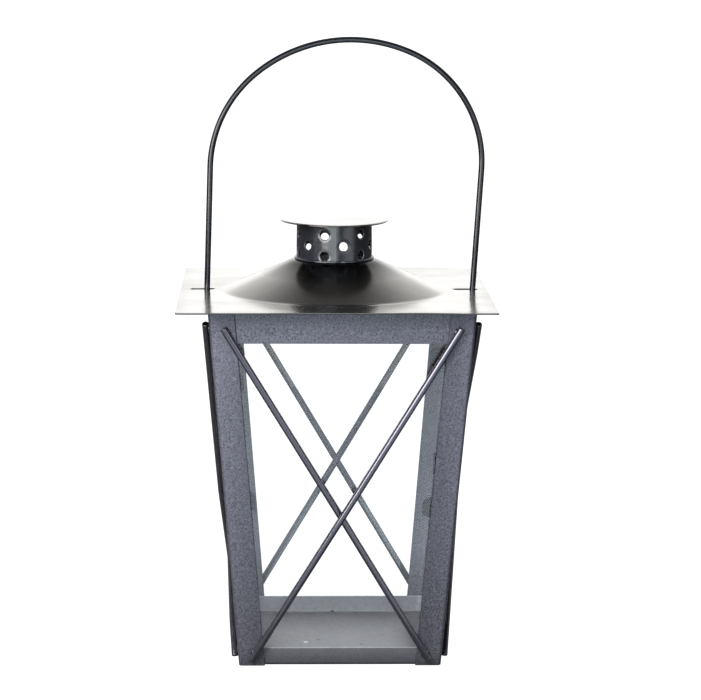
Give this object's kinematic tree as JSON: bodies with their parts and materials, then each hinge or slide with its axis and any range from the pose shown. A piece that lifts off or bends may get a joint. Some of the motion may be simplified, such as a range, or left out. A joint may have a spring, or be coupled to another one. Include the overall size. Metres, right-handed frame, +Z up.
{
  "type": "candle lantern",
  "caption": "Small tapered square candle lantern: glazed sheet-steel body crossed by wire rods, a loose domed roof with a perforated chimney, and a wire bail handle.",
  "frame": {"origin": "centre of the base tray's underside, on the body's middle axis", "axes": "+Z up, -Y the front, +X to the right seen from the front, which is also the axis that the handle turns about"},
  "size_m": [0.12, 0.12, 0.2396],
  "materials": {
    "body_paint": "fine-grained satin powder coat, dark grey",
    "rod_paint": "satin paint on the rods and clips, nearly black",
    "roof_steel": "lacquered steel, semi-gloss, pewter",
    "collar_steel": "dark lacquered steel, semi-gloss",
    "handle_wire": "gloss lacquer over round wire, near black",
    "pane_glass": "clear float glass with a faint green edge"
  },
  "bodies": {
    "body": {"base_tray": "body_paint", "post_front_right": "body_paint", "post_back_right": "body_paint", "post_back_left": "body_paint", "post_front_left": "body_paint", "top_rail_front": "body_paint", "top_rail_right": "body_paint", "top_rail_back": "body_paint", "top_rail_left": "body_paint", "glass_front": "pane_glass", "glass_right": "pane_glass", "glass_back": "pane_glass", "glass_left": "pane_glass", "clips_front": "rod_paint", "clips_right": "rod_paint", "clips_back": "rod_paint", "clips_left": "rod_paint", "inner_rod_front": "rod_paint", "inner_rod_right": "rod_paint", "inner_rod_back": "rod_paint", "inner_rod_left": "rod_paint", "outer_rod_front": "rod_paint", "outer_rod_right": "rod_paint", "outer_rod_back": "rod_paint", "outer_rod_left": "rod_paint"},
    "handle": {"handle": "handle_wire"},
    "roof": {"roof_plate": "roof_steel", "chimney_collar": "collar_steel", "chimney_cap": "roof_steel"}
  },
  "joints": [
    {"name": "handle_swing", "type": "hinge", "parent": "body", "child": "handle", "pos_m": [0, 0, 0.1352], "axis": [-1, 0, 0], "range_deg": [0, 25]},
    {"name": "roof_lift", "type": "slide", "parent": "handle", "child": "roof", "axis": [0.0802, 0, 0.9968], "range_m": [0, 0.06]}
  ],
  "couplings": [
    {"joint": "handle_swing", "follows": "roof_lift", "rad_per_m": 7.27}
  ]
}
